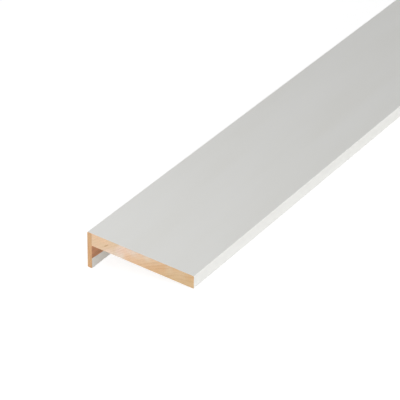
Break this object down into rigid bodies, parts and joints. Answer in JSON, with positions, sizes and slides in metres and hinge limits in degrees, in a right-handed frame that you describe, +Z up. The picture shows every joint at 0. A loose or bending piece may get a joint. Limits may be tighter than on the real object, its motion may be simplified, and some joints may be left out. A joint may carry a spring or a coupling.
{
  "type": "architrave moulding",
  "caption": "Adjustable door architrave: flat white-painted pine face board with a thin tongue strip glued along one edge, to slide into the groove of a door frame.",
  "frame": {"origin": "on the floor, below the middle of the length and of the width", "axes": "+Y along the length, +X across the face from the tongue to the free edge, +Z up; the face leans 12.6 degrees down towards +X, as the stock comes to rest"},
  "size_m": [0.0732, 2.2, 0.023],
  "materials": {
    "painted_board": "satin white paint on the face and the free edge, bare planed pine back, bare sawn ends",
    "painted_tongue": "satin white paint on the outer side and the tip, bare pine in the corner, bare sawn ends"
  },
  "bodies": {
    "root": {"face_board": "painted_board", "tongue_strip": "painted_tongue"}
  },
  "joints": []
}
